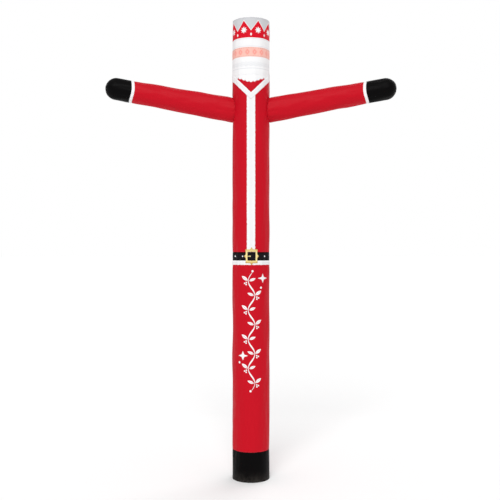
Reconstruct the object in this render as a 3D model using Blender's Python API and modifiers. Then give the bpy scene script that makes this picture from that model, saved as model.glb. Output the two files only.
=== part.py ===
"""An inflatable air dancer, blown up and standing: a tall cloth trunk with two raised arms.

Every panel is a thin cloth shell in its own object, in metres, +Z up. The dancer faces -Y, its arms
reach along X, and the origin is the centre of the base hem, where the dancer stands.
"""

import math
from typing import NamedTuple

import bmesh
import bpy
from mathutils import Vector

# Driving dimensions, in metres.
TUBE_RADIUS = 0.2286  # an 18 inch tube
TUBE_HEIGHT = 5.63
CLOTH = 0.002  # thickness of every panel
TRIM_CLOTH = 0.001  # thickness of what is sewn on the trunk's face
SEAM_GAP = 0.0003  # between two pieces that meet

# The trunk, from the floor up.
BASE_SEAM = 0.366
HEM_BOTTOM = 2.634
BELT_BOTTOM = 2.687
BELT_TOP = 2.790
NECK_SEAM = 4.940  # under the collar at the sides and the back
WAIST_DEPTH = 0.003  # how far a seam draws the inflated cloth in
WAIST_REACH = 0.060  # how far from the seam the cloth is back to its full radius
CROWN_RISE = 0.028  # the top panel's dome over the rim
VENT_RADIUS = 0.060

# The arms. Distances along an arm run from the trunk's axis.
ARM_AXIS_HEIGHT = 4.504
ARM_SLOPE = math.radians(10.3)
ARM_RADIUS = 0.134  # round at the hand
SHOULDER_HALF_HEIGHT = 0.152  # the armhole is taller than deep
SHOULDER_HALF_DEPTH = 0.110
SHOULDER_END = 0.300  # the sleeve keeps the armhole's section up to here
ARM_START = 0.120  # inside the trunk, cut away by the shoulder's seam
HAND_STRAIGHT = 1.626  # the hand's rings are level from here on
ARM_TIP = 1.828
CUFF_WIDTH = 0.0365
CUFF_BOW = 0.037  # the cuff's seams are cut in an arc, nearer the trunk at the front and the back
CUFF_TILT = 0.008  # and further out over the arm than under it
ARMS = (
    # name, side (+1 for +X), where the sleeve ends: the two cuffs aren't sewn on level
    ("left", -1, 1.482),
    ("right", 1, 1.430),
)

# What is sewn on the trunk's face, as it shows from the front.
PLACKET_HALF_WIDTH = 0.052
COLLAR_BACK_BOTTOM = 4.900
COLLAR_BACK_TOP = 4.988
COLLAR_POINT_BOTTOM = 4.637
COLLAR_POINT_TOP = 4.723
COLLAR_BOW = 0.045  # how far the V's edges bow below a straight slope
BUCKLE_HALF_WIDTH = 0.073
BUCKLE_HALF_HEIGHT = 0.080
BUCKLE_INNER_HALF_WIDTH = 0.048
BUCKLE_INNER_HALF_HEIGHT = 0.051
BUCKLE_SIDE_POINT = 0.0175  # how far the small point at the middle of a side stands out
BUCKLE_END_POINT = 0.027  # and the one at the middle of the top and the bottom
BUCKLE_DIP = 0.005  # how far the outline is drawn in between a point and a corner
BUCKLE_ASIDE = 0.0065  # the buckle sits a little to the right of the middle
BUCKLE_CENTRE = 2.740
PRONG_END = -0.010  # from the buckle's middle
PRONG_HALF_WIDTH = 0.007

# What cuts the armholes, and the sleeves' roots.
ARMHOLE_CUT_FROM = 0.020  # along the arm
ARMHOLE_CUT_TO = 0.420
SHOULDER_CUT_HEIGHT = 1.000

# How finely the cloth is divided.
TRUNK_SEGMENTS = 48
ARM_SEGMENTS = 32
CROWN_STEPS = 4
SLEEVE_STEPS = 10
HAND_ARC_STEPS = 6
PLACKET_COLUMNS = 8
PLACKET_ROWS = 4
PRONG_COLUMNS = 3
WELD_DISTANCE = 1e-5

COLOURS = {
    # name: (colour, roughness, metallic)
    "red_cloth": ((0.55, 0.007, 0.021), 0.55, 0.0),
    "black_cloth": ((0.006, 0.005, 0.006), 0.55, 0.0),
    "white_cloth": ((0.90, 0.90, 0.90), 0.60, 0.0),
    "grey_cloth": ((0.64, 0.65, 0.67), 0.55, 0.0),
    "gold_cloth": ((0.75, 0.52, 0.18), 0.40, 0.6),
}


class Ring(NamedTuple):
    """One section of an arm, round its axis."""

    along: float  # distance along the axis
    half_x: float
    half_y: float
    bow: float = 0.0  # how far the ring's front and back are moved along the axis
    tilt: float = 0.0  # how far its +X side is moved along the axis, and its -X side back


def clear_scene():
    for item in list(bpy.data.objects):
        bpy.data.objects.remove(item)


def new_collection(name):
    collection = bpy.data.collections.new(name)
    bpy.context.scene.collection.children.link(collection)
    return collection


def make_materials():
    materials = {}
    for name, (colour, roughness, metallic) in COLOURS.items():
        material = bpy.data.materials.new(name)
        material.use_nodes = True
        shader = material.node_tree.nodes["Principled BSDF"]
        shader.inputs["Base Color"].default_value = (*colour, 1.0)
        shader.inputs["Roughness"].default_value = roughness
        shader.inputs["Metallic"].default_value = metallic
        materials[name] = material
    return materials


def add_piece(name, mesh, material, collection):
    mesh.materials.append(material)
    piece = bpy.data.objects.new(name, mesh)
    collection.objects.link(piece)
    return piece


def thicken(piece, thickness):
    """Gives the cloth its thickness, on the inner side."""
    solidify = piece.modifiers.new("thickness", "SOLIDIFY")
    solidify.thickness = thickness
    solidify.offset = -1.0


def turned_cloth(name, profile, material, collection):
    """A round panel of the trunk: a profile of (radius, height), from the top down, turned about Z."""
    mesh = bpy.data.meshes.new(name)
    points = [(radius, 0.0, height) for radius, height in profile]
    mesh.from_pydata(points, [(step, step + 1) for step in range(len(points) - 1)], [])
    piece = add_piece(name, mesh, material, collection)
    turn = piece.modifiers.new("turn", "SCREW")
    turn.steps = TRUNK_SEGMENTS
    turn.render_steps = TRUNK_SEGMENTS
    turn.use_merge_vertices = True
    turn.merge_threshold = WELD_DISTANCE
    thicken(piece, CLOTH)
    return piece


def bent_cloth(name, columns, rows, place, closed, thickness, material, collection):
    """A sheet of cloth: a grid bent by place(across, up), both from 0 to 1."""
    sheet = bmesh.new()
    bmesh.ops.create_grid(sheet, x_segments=columns, y_segments=rows, size=0.5)
    for vertex in sheet.verts:
        across = round((vertex.co.x + 0.5) * columns) / columns
        up = round((vertex.co.y + 0.5) * rows) / rows
        vertex.co = place(across % 1.0 if closed else across, up)
    bmesh.ops.remove_doubles(sheet, verts=sheet.verts, dist=WELD_DISTANCE)
    mesh = bpy.data.meshes.new(name)
    sheet.to_mesh(mesh)
    sheet.free()
    mesh.shade_smooth()
    piece = add_piece(name, mesh, material, collection)
    thicken(piece, thickness)
    return piece


def seam_waist(distance):
    """How far the cloth is drawn in at this distance from a seam."""
    if distance >= WAIST_REACH:
        return 0.0
    return WAIST_DEPTH * (1.0 - distance / WAIST_REACH) ** 2


def trunk_profile(bottom, top, bottom_seam=True):
    """A stretch of trunk, with more points near its seams. Each seam keeps half of the gap."""
    low = bottom + (SEAM_GAP / 2 if bottom_seam else 0.0)
    high = top - SEAM_GAP / 2
    steps = (WAIST_REACH / 3, WAIST_REACH)
    if 2.0 * WAIST_REACH < high - low:
        between = [*(high - step for step in steps), *(low + step for step in reversed(steps))]
    else:
        between = [(low + high) / 2]
    profile = []
    for height in (high, *between, low):
        drawn = seam_waist(high - height)
        if bottom_seam:
            drawn = max(drawn, seam_waist(height - low))
        profile.append((TUBE_RADIUS - drawn, height))
    return profile


def crown_profile():
    """The top panel, from the vent out to the rim."""
    rim = TUBE_RADIUS - WAIST_DEPTH
    profile = []
    for step in range(CROWN_STEPS + 1):
        radius = VENT_RADIUS + (rim - VENT_RADIUS) * step / CROWN_STEPS
        rise = CROWN_RISE * (1.0 - (radius / rim) ** 2)
        profile.append((radius, TUBE_HEIGHT + CLOTH + SEAM_GAP / 2 + rise))
    return profile


def build_trunk(materials, collection):
    """The tube sections, sewn edge to edge, and the domed top panel with its round vent."""
    panels = (
        # name, profile, material
        ("base_cuff", trunk_profile(0.0, BASE_SEAM, bottom_seam=False), "black_cloth"),
        ("lower_tube", trunk_profile(BASE_SEAM, HEM_BOTTOM), "red_cloth"),
        ("hem_band", trunk_profile(HEM_BOTTOM, BELT_BOTTOM), "white_cloth"),
        ("belt_band", trunk_profile(BELT_BOTTOM, BELT_TOP), "black_cloth"),
        ("chest_tube", trunk_profile(BELT_TOP, NECK_SEAM), "red_cloth"),
        ("head_tube", trunk_profile(NECK_SEAM, TUBE_HEIGHT), "white_cloth"),
        ("top_panel", crown_profile(), "grey_cloth"),
    )
    for name, profile, material in panels:
        turned_cloth(name, profile, materials[material], collection)


def arm_cloth(name, rings, material, collection):
    """A cloth tube through rings, round local Z. A turn starts at +X and runs by way of +Y."""
    rows = len(rings) - 1

    def place(across, up):
        ring = rings[round(up * rows)]
        turn = across * math.tau
        shift = ring.bow * math.sin(turn) ** 2 + ring.tilt * math.cos(turn)
        return Vector((ring.half_x * math.cos(turn), ring.half_y * math.sin(turn), ring.along + shift))

    return bent_cloth(name, ARM_SEGMENTS, rows, place, True, CLOTH, material, collection)


def cuff_seam(along, side):
    """The ring where two pieces meet at a cuff's edge. Local +X is the arm's top on the left, not the right."""
    return Ring(along, ARM_RADIUS, ARM_RADIUS, -CUFF_BOW, -side * CUFF_TILT)


def sleeve_rings(sleeve_end, side):
    """Oval at the shoulder, round at the cuff."""
    rings = [Ring(ARM_START, SHOULDER_HALF_HEIGHT, SHOULDER_HALF_DEPTH)]
    for step in range(SLEEVE_STEPS):
        share = step / SLEEVE_STEPS
        eased = share * share * (3.0 - 2.0 * share)
        along = SHOULDER_END + (sleeve_end - SHOULDER_END) * share
        tall = SHOULDER_HALF_HEIGHT + (ARM_RADIUS - SHOULDER_HALF_HEIGHT) * share
        deep = SHOULDER_HALF_DEPTH + (ARM_RADIUS - SHOULDER_HALF_DEPTH) * eased
        rings.append(Ring(along, tall, deep))
    return [*rings, cuff_seam(sleeve_end - SEAM_GAP / 2, side)]


def cuff_rings(sleeve_end, side):
    first = sleeve_end + SEAM_GAP / 2
    return [cuff_seam(first, side), cuff_seam(first + CUFF_WIDTH - SEAM_GAP, side)]


def hand_rings(sleeve_end, side):
    """A round sleeve end that closes in a half ball."""
    ball_centre = ARM_TIP - ARM_RADIUS
    rings = [
        cuff_seam(sleeve_end + CUFF_WIDTH + SEAM_GAP / 2, side),
        Ring(HAND_STRAIGHT, ARM_RADIUS, ARM_RADIUS),
    ]
    for step in range(HAND_ARC_STEPS):
        angle = math.pi / 2 * step / HAND_ARC_STEPS
        radius = ARM_RADIUS * math.cos(angle)
        rings.append(Ring(ball_centre + ARM_RADIUS * math.sin(angle), radius, radius))
    rings.append(Ring(ARM_TIP, 0.0, 0.0))
    return rings


def aim_along_arm(piece, side):
    """Turns local Z along the arm on this side, +1 for +X, and sets it on the trunk's axis."""
    piece.location = (0.0, 0.0, ARM_AXIS_HEIGHT)
    piece.rotation_euler = (0.0, side * (math.pi / 2 - ARM_SLOPE), 0.0)


def new_cutter(name, half_x, half_y, low, high, segments, collection):
    """A solid oval cylinder round local Z, from low to high."""
    bpy.ops.mesh.primitive_cylinder_add(vertices=segments, radius=1.0, depth=high - low)
    cutter = bpy.context.object
    cutter.name = name
    for vertex in cutter.data.vertices:
        vertex.co.x *= half_x
        vertex.co.y *= half_y
        vertex.co.z += (low + high) / 2
    for owner in cutter.users_collection:
        owner.objects.unlink(cutter)
    collection.objects.link(cutter)
    cutter.hide_render = True
    cutter.display_type = "WIRE"
    return cutter


def add_cut(piece, cutter):
    cut = piece.modifiers.new("cut", "BOOLEAN")
    cut.operation = "DIFFERENCE"
    cut.object = cutter


def build_arms(materials, collection, cutters):
    """Each arm is a sleeve, a narrow cuff and a closed hand. Its root is cut to the trunk's surface."""
    # The sleeve ends just outside the trunk's facets, whose corners lie at the full radius.
    reach = TUBE_RADIUS + SEAM_GAP
    height = SHOULDER_CUT_HEIGHT / 2
    shoulder = new_cutter("shoulder_cutter", reach, reach, -height, height, TRUNK_SEGMENTS, cutters)
    shoulder.location.z = ARM_AXIS_HEIGHT
    trunk = bpy.data.objects["chest_tube"]
    hole = (SHOULDER_HALF_HEIGHT - CLOTH, SHOULDER_HALF_DEPTH - CLOTH, ARMHOLE_CUT_FROM, ARMHOLE_CUT_TO)
    for word, side, sleeve_end in ARMS:
        rings = sleeve_rings(sleeve_end, side)
        sleeve = arm_cloth(f"sleeve_{word}", rings, materials["red_cloth"], collection)
        add_cut(sleeve, shoulder)
        rings = cuff_rings(sleeve_end, side)
        cuff = arm_cloth(f"cuff_{word}", rings, materials["white_cloth"], collection)
        rings = hand_rings(sleeve_end, side)
        hand = arm_cloth(f"hand_{word}", rings, materials["black_cloth"], collection)
        armhole = new_cutter(f"armhole_cutter_{word}", *hole, ARM_SEGMENTS, cutters)
        add_cut(trunk, armhole)
        for piece in (sleeve, cuff, hand, armhole):
            aim_along_arm(piece, side)


def on_trunk(x, height, proud):
    """A point on the trunk's front, seen x to the right of its middle, standing proud of the cloth."""
    turn = math.asin(x / TUBE_RADIUS)
    radius = TUBE_RADIUS + proud
    return Vector((radius * math.sin(turn), -radius * math.cos(turn), height))


def collar_edge(turn, at_point, at_back):
    """The height of a collar edge that rises from its point at the front to level across the back."""
    facing = max(0.0, math.cos(turn))
    aside = abs(math.sin(turn)) if facing > 0.0 else 1.0
    return at_point + (at_back - at_point - COLLAR_BOW) * aside + COLLAR_BOW * (1.0 - facing)


def build_collar(materials, collection):
    """A band round the neck that dips to a point at the front."""
    radius = TUBE_RADIUS + SEAM_GAP + TRIM_CLOTH

    def place(across, up):
        turn = across * math.tau
        bottom = collar_edge(turn, COLLAR_POINT_BOTTOM, COLLAR_BACK_BOTTOM)
        top = collar_edge(turn, COLLAR_POINT_TOP, COLLAR_BACK_TOP)
        return Vector((radius * math.sin(turn), -radius * math.cos(turn), bottom + (top - bottom) * up))

    bent_cloth("collar", TRUNK_SEGMENTS, 1, place, True, TRIM_CLOTH, materials["white_cloth"], collection)


def build_placket(materials, collection):
    """The strip down the front, from the collar's point to the belt."""
    proud = SEAM_GAP + TRIM_CLOTH
    bottom = BELT_TOP + SEAM_GAP

    def place(across, up):
        x = (2.0 * across - 1.0) * PLACKET_HALF_WIDTH
        turn = math.asin(x / TUBE_RADIUS)
        top = collar_edge(turn, COLLAR_POINT_BOTTOM, COLLAR_BACK_BOTTOM) - 2.0 * SEAM_GAP
        return on_trunk(x, bottom + (top - bottom) * up, proud)

    white = materials["white_cloth"]
    bent_cloth("placket", PLACKET_COLUMNS, PLACKET_ROWS, place, False, TRIM_CLOTH, white, collection)


def build_buckle(materials, collection):
    """A rectangular frame with a small point at the middle of each side, and a prong."""
    gold = materials["gold_cloth"]
    proud = 3.0 * SEAM_GAP + 2.0 * TRIM_CLOTH
    # The steps along one side, from a corner to just before the next, with the point at 0.
    shares = (-1.0, -0.75, -0.5, -0.25, 0.0, 0.25, 0.5, 0.75)
    sides = (
        # a side's outward direction, anticlockwise from the right, and its point
        (1, 0, BUCKLE_SIDE_POINT),
        (0, 1, BUCKLE_END_POINT),
        (-1, 0, BUCKLE_SIDE_POINT),
        (0, -1, BUCKLE_END_POINT),
    )
    around = len(shares) * len(sides)

    def place_frame(across, up):
        step = round(across * around) % around
        out_x, out_z, point = sides[step // len(shares)]
        share = shares[step % len(shares)]
        half_width = BUCKLE_INNER_HALF_WIDTH + (BUCKLE_HALF_WIDTH - BUCKLE_INNER_HALF_WIDTH) * up
        half_height = BUCKLE_INNER_HALF_HEIGHT + (BUCKLE_HALF_HEIGHT - BUCKLE_INNER_HALF_HEIGHT) * up
        out = 0.0
        if share == 0.0:
            out = point * up
        elif share > -1.0:
            out = -BUCKLE_DIP * up
        x = (out_x - out_z * share) * half_width + out_x * out
        z = (out_z + out_x * share) * half_height + out_z * out
        return on_trunk(BUCKLE_ASIDE + x, BUCKLE_CENTRE + z, proud)

    frame = bent_cloth("buckle", around, 2, place_frame, True, TRIM_CLOTH, gold, collection)
    frame.data.flip_normals()

    def place_prong(across, up):
        start = SEAM_GAP - BUCKLE_INNER_HALF_WIDTH
        x = BUCKLE_ASIDE + start + (PRONG_END - start) * across
        z = BUCKLE_CENTRE + PRONG_HALF_WIDTH * (2.0 * up - 1.0)
        return on_trunk(x, z, proud)

    bent_cloth("buckle_prong", PRONG_COLUMNS, 1, place_prong, False, TRIM_CLOTH, gold, collection)


def main():
    clear_scene()
    pieces = new_collection("air_dancer")
    cutters = new_collection("cutters")
    materials = make_materials()
    build_trunk(materials, pieces)
    build_arms(materials, pieces, cutters)
    build_collar(materials, pieces)
    build_placket(materials, pieces)
    build_buckle(materials, pieces)


main()
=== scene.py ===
"""The looks of the inflatable air dancer: printed ripstop cloth, soft white trims, seams, stitches, puckers.

Sizes are in metres. The dancer stands on the origin and faces -Y. On the trunk, turn is the angle round
its axis from the front towards +X. On an arm, along runs outwards from the trunk's axis, and around is
the angle round the arm from its top. Print coordinates are metres across and up the cloth.
"""

import math
from math import pi, tau

import bmesh
import bpy
import numpy as np
from numpy.random import default_rng
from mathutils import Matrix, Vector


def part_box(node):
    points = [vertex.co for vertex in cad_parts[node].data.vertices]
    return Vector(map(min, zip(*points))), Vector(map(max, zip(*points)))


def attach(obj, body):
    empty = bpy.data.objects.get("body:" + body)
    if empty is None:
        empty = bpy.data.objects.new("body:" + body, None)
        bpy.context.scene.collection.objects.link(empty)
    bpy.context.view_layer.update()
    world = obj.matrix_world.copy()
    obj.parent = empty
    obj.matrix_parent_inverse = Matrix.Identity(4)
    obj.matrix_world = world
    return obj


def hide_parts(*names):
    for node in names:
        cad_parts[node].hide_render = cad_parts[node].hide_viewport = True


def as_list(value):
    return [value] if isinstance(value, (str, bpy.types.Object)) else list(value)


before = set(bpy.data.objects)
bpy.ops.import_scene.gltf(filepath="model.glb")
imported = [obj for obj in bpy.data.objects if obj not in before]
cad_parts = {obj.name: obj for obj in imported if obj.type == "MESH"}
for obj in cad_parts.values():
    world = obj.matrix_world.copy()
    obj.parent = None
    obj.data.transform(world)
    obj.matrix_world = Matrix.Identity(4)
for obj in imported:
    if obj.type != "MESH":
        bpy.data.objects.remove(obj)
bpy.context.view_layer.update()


# The trunk, as packed.
TUBE_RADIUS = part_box("lower_tube")[1].x
TUBE_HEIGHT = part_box("head_tube")[1].z
TRUNK_NODES = ("base_cuff", "lower_tube", "hem_band", "belt_band", "chest_tube", "head_tube")
MEETINGS = [
    (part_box(lower)[1].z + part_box(upper)[0].z) / 2 for lower, upper in zip(TRUNK_NODES, TRUNK_NODES[1:])
]
BASE_SEAM, HEM_BOTTOM, BELT_BOTTOM, BELT_TOP, NECK_SEAM = MEETINGS
TRUNK_SEAMS = (*MEETINGS, TUBE_HEIGHT)
AROUND_TRUNK = tau * TUBE_RADIUS
CROWN_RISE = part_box("top_panel")[1].z - TUBE_HEIGHT
VENT_RADIUS = 0.060

# The arms, as packed.
ARM_AXIS_HEIGHT = 4.504
ARM_SLOPE = math.radians(10.3)
ARM_RADIUS = 0.134
SHOULDER_HALF_HEIGHT = 0.152
SHOULDER_HALF_DEPTH = 0.110
SHOULDER_END = 0.300
SLEEVE_ENDS = {-1: 1.482, 1: 1.430}  # the two cuffs aren't sewn on level
CUFF_WIDTH = 0.0365
CUFF_ENDS = {side: end + CUFF_WIDTH for side, end in SLEEVE_ENDS.items()}
CUFF_BOW = 0.037
CUFF_TILT = 0.008
HAND_STRAIGHT = 1.626
ARM_TIP = 1.828
BALL_CENTRE = ARM_TIP - ARM_RADIUS
SHOULDER_HEIGHT = ARM_AXIS_HEIGHT + TUBE_RADIUS * math.tan(ARM_SLOPE)  # where the axis leaves the trunk

# What is sewn on the trunk's face.
PLACKET_HALF_WIDTH = 0.052
COLLAR_BACK = (4.900, 4.988)  # the heights of its two edges behind
COLLAR_POINT = (4.637, 4.723)  # and at the point
COLLAR_BOW = 0.045
BUCKLE_HALF = (0.073, 0.083)  # across and up
BUCKLE_INNER = (0.050, 0.053)
BUCKLE_POINT = (0.0175, 0.025)
BUCKLE_DIP = (0.0026, 0)
BUCKLE_ASIDE = 0.0065
BUCKLE_CENTRE = 2.740
BUCKLE_EDGE = 0.0012  # above the cloth
BUCKLE_FOOT = 0.0026  # just inside its edges
BUCKLE_PADDING = 0.0026  # and how much more along its middle
PRONG_END = -0.010
PRONG_KNOB = 0.0082  # half the width of its round end
PRONG_HALF_BAR = 0.0042
PRONG_FOOT = 0.0018
PRONG_PADDING = 0.0030

# How the cloth is sewn.
PANEL_CLOTH = 0.0006
TRIM_CLOTH = 0.001
LAP_LIFT = 0.0009  # of the cloth over a seam allowance
PANEL_LAP = (0.010, 0.013)  # from the upper panel's edge: lifted up to here, flat from here on
BASE_HEM = 0.022
BASE_LAP = (BASE_HEM, BASE_HEM + 0.002)
TONGUE = 0.009  # what the lower panel runs on, under the lap
TONGUE_DROP = 0.0003
WAIST_DEPTH = 0.003  # how far a seam draws the inflated cloth in
WAIST_REACH = 0.060
STITCH_PITCH = 0.0042
STITCH_LENGTH = 0.0032
STITCH_WIDTH = 0.0010
STITCH_ROWS = (0.0025, 0.0080)  # up from the lap's edge
SEAM_SIDES = (-0.6, 0.6)  # of a lengthwise seam, in half widths of its allowance
ALONG_SEAM = 0.004  # its step
CLEAR_OF_SEAM = 0.014  # its start above a seam round the trunk

# How finely the cloth is divided.
TRUNK_COLUMNS = 240
ARM_COLUMNS = 132
FINE_STEP = 0.0015
EDGE_STEP = 0.002
SHOULDER_STEP = 0.008
COARSE_STEP = 0.018
CROWN_STEP = 0.010
SLEEVE_STEP = 0.011
HAND_STEP = 0.009
STEP_GROWTH = 0.16


# ---- shapes shared by the pieces


def eased(low, high, value):
    """0 below low, 1 above high, and a smooth step between."""
    share = np.clip((value - low) / (high - low), 0, 1)
    return share * share * (3 - 2 * share)


def wrapped(value, period):
    """The value, moved by whole periods to lie around zero."""
    return value - period * np.round(value / period)


def spaced(low, high, zones, coarse=COARSE_STEP):
    """Steps from low to high, fine in each zone (first, last, step) and wider away from it."""
    steps = [low]
    while steps[-1] < high:
        here = steps[-1]
        room = [step + STEP_GROWTH * max(0, first - here, here - last) for first, last, step in zones]
        steps.append(here + min(coarse, *room))
    steps = np.array(steps)
    return low + (steps - low) * (high - low) / (steps[-1] - low)


def columns(count, seams, near):
    """Even angles round a tube, and some on both sides of each lengthwise seam."""
    even = np.linspace(-pi, pi, count, endpoint=False)
    edges = [wrapped(seam + sign * near, tau) for seam in seams for sign in (-1, 1)]
    return np.sort(np.concatenate([even, *edges]))


def waves(turn, counts, chance):
    """Smooth uneven waves round a circle, about -1 to 1."""
    parts = [np.cos(count * turn + chance.uniform(0, tau)) for count in counts]
    return sum(parts) / math.sqrt(len(parts))


def creases(turn, count, chance):
    """Rounded bulges round a circle with sharp creases between them, uneven in width and depth."""
    phase = count / 2 * turn + 0.02 * count * waves(turn, (2, 3, 5, 7), chance)
    strength = np.clip(0.6 + 0.4 * waves(turn, (3, 4, 7, 11), chance), 0.1, 1)
    return (np.abs(np.cos(phase)) - 0.64) * strength


def waist(distance, depth=WAIST_DEPTH, reach=WAIST_REACH):
    """How far the cloth is drawn in at this distance from a seam."""
    return depth * np.clip(1 - distance / reach, 0, 1) ** 2


def lapped(distance, full, gone):
    """The lift over a seam allowance: full up to one distance, gone from the other on."""
    return LAP_LIFT * (1 - eased(full, gone, distance))


def puckers(distance, turn, rows, chance):
    """Creases that run away from a seam: each row is (how many round the tube, height, reach)."""
    total = 0
    for count, height, reach in rows:
        total = total + height * np.exp(-distance / reach) * creases(turn, count, chance)
    return total


def unevenness(turn, along, rows, chance):
    """Slow swells over a tube: each row is (how many round it, length along it, height)."""
    total = 0
    for count, length, height in rows:
        drift = 0.6 * np.sin(tau * along / (2.3 * length) + chance.uniform(0, tau))
        round_it = np.cos(count * turn + drift + chance.uniform(0, tau))
        total = total + height * round_it * np.cos(tau * along / length + chance.uniform(0, tau))
    return total


# ---- the trunk's surface

TRUNK_SWELLS = (
    # round the tube, length, height
    (1, 2.30, 0.0008),
    (2, 1.70, 0.0014),
    (3, 0.90, 0.0018),
    (5, 0.62, 0.0018),
    (8, 1.10, 0.0018),
    (13, 0.75, 0.0013),
    (21, 0.55, 0.0008),
)
# Rows of puckers: how many round the tube, height, reach.
TRUNK_PUCKERS = ((46, 0.0034, 0.026), (21, 0.0046, 0.085), (10, 0.0044, 0.230))
ARMHOLE_PUCKERS = ((26, 0.0042, 0.045), (12, 0.0085, 0.150))
BACK_PUCKERS = ((210, 0.0011, 0.014), (90, 0.0010, 0.040))
PLACKET_PUCKERS = ((230, 0.0009, 0.012),)
# Waists: depth, reach.
ARMHOLE_WAIST = (0.004, 0.050)
BACK_WAIST = (0.0018, 0.045)
BACK_SEAM_HALF = 0.006
LAP_FADE = 0.001  # over which its allowance ends
HELD_BELOW = 0.5  # the blower's ring holds the cloth round, less and less up to here


def armhole_place(turn, height, side):
    """The distance outside this side's armhole, and the angle round it from the top."""
    across = TUBE_RADIUS * wrapped(turn - side * pi / 2, tau)
    half_arc = TUBE_RADIUS * math.asin(SHOULDER_HALF_DEPTH / TUBE_RADIUS)
    half_height = SHOULDER_HALF_HEIGHT / math.cos(ARM_SLOPE)
    share = np.hypot(across / half_arc, (height - SHOULDER_HEIGHT) / half_height)
    distance = np.maximum(share - 1, 0) * (half_arc + half_height) / 2
    return distance, np.arctan2(across, height - SHOULDER_HEIGHT)


def trunk_offset(turn, height):
    """How far the blown-up cloth stands out from the plain tube, at each turn and height."""
    chance = default_rng(11)
    offset = eased(0, HELD_BELOW, height) * unevenness(turn, height, TRUNK_SWELLS, chance)
    drawn = np.zeros_like(offset)
    for seam in TRUNK_SEAMS:
        distance = np.abs(height - seam)
        drawn = np.maximum(drawn, waist(distance))
        slanted = turn + 0.3 * distance * waves(turn, (2, 5, 9), chance)
        offset = offset + puckers(distance, slanted, TRUNK_PUCKERS, chance)
    for side in (-1, 1):
        distance, around = armhole_place(turn, height, side)
        drawn = np.maximum(drawn, waist(distance, *ARMHOLE_WAIST))
        slack = 1 + 0.5 * np.cos(around)  # the cloth is slacker over a raised arm than under it
        offset = offset + slack * puckers(distance, around, ARMHOLE_PUCKERS, chance)
    from_seam = TUBE_RADIUS * np.abs(wrapped(turn - pi, tau))
    up_the_back = tau * height / TUBE_HEIGHT
    offset = offset + puckers(from_seam, up_the_back, BACK_PUCKERS, chance)
    drawn = np.maximum(drawn, waist(from_seam, *BACK_WAIST))
    from_edge = np.abs(np.abs(TUBE_RADIUS * np.sin(turn)) - PLACKET_HALF_WIDTH)
    beside = eased(0, 0.05, height - BELT_TOP) * eased(0, 0.05, COLLAR_POINT[0] - height)
    beside = beside * (np.cos(turn) > 0)
    offset = offset + beside * puckers(from_edge, up_the_back, PLACKET_PUCKERS, chance)
    return offset - drawn + lapped(from_seam, BACK_SEAM_HALF - LAP_FADE, BACK_SEAM_HALF + LAP_FADE)


def trunk_point(turn, height, lift=0):
    """A point on the trunk's cloth, or lifted off it."""
    turn, height, lift = np.broadcast_arrays(turn, height, lift)
    radius = TUBE_RADIUS + trunk_offset(turn, height) + lift
    return np.stack([radius * np.sin(turn), -radius * np.cos(turn), height], axis=-1)


TURNS = columns(TRUNK_COLUMNS, (pi,), np.array([0.75, 1.2, 1.6]) * BACK_SEAM_HALF / TUBE_RADIUS)


def turn_at(x):
    """The turn of what shows from the front x to the right of the trunk's middle."""
    return np.arcsin(np.clip(x / TUBE_RADIUS, -1, 1))


# ---- the arms' surface

ARM_SWELLS = (
    # round the arm, length, height
    (1, 0.90, 0.0010),
    (2, 0.60, 0.0016),
    (3, 0.45, 0.0018),
    (5, 0.52, 0.0017),
    (9, 0.40, 0.0012),
    (14, 0.30, 0.0007),
)
CUFF_PUCKERS = ((34, 0.0028, 0.022), (15, 0.0040, 0.080))
ROOT_PUCKERS = ((26, 0.0042, 0.045), (12, 0.0085, 0.140))
SLEEVE_SEAM_PUCKERS = ((62, 0.0012, 0.014),)
HAND_SEAM_PUCKERS = (*SLEEVE_SEAM_PUCKERS, (48, 0.0016, 0.030))
CUFF_WAIST = (0.0025, 0.050)
SEAM_WAIST_REACH = 0.035
ARM_SEAM_HALF = 0.005
UNDER = (pi,)  # the sleeve's lengthwise seam
UNDER_AND_OVER = (pi, 0)  # the hand's two halves are joined round its end


def arm_section(side, along):
    """The sleeve's half height and half depth, and how far it faces along the arm."""
    share = np.clip((along - SHOULDER_END) / (SLEEVE_ENDS[side] - SHOULDER_END), 0, 1)
    tall = SHOULDER_HALF_HEIGHT + (ARM_RADIUS - SHOULDER_HALF_HEIGHT) * share
    deep = SHOULDER_HALF_DEPTH + (ARM_RADIUS - SHOULDER_HALF_DEPTH) * eased(0, 1, share)
    lean = np.clip((along - BALL_CENTRE) / ARM_RADIUS, 0, 1)
    closing = np.sqrt(1 - lean**2)
    return tall * closing, deep * closing, lean


def arm_point(side, along, around, offset=0):
    """A point on the arm on this side, +1 for +X, standing out from the plain sleeve by offset."""
    along, around, offset = np.broadcast_arrays(along, around, offset)
    tall, deep, lean = arm_section(side, along)
    spread = offset * np.sqrt(1 - lean**2)
    out = along + offset * lean
    up = (tall + spread) * np.cos(around)
    front = side * (deep + spread) * np.sin(around)
    x = side * (out * math.cos(ARM_SLOPE) - up * math.sin(ARM_SLOPE))
    z = ARM_AXIS_HEIGHT + out * math.sin(ARM_SLOPE) + up * math.cos(ARM_SLOPE)
    return np.stack([x, -front, z], axis=-1)


def bowed(seam, around):
    """Where along the arm a cuff's seam lies: it is cut in an arc, and slants."""
    return seam - CUFF_BOW * np.sin(around) ** 2 + CUFF_TILT * np.cos(around)


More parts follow.
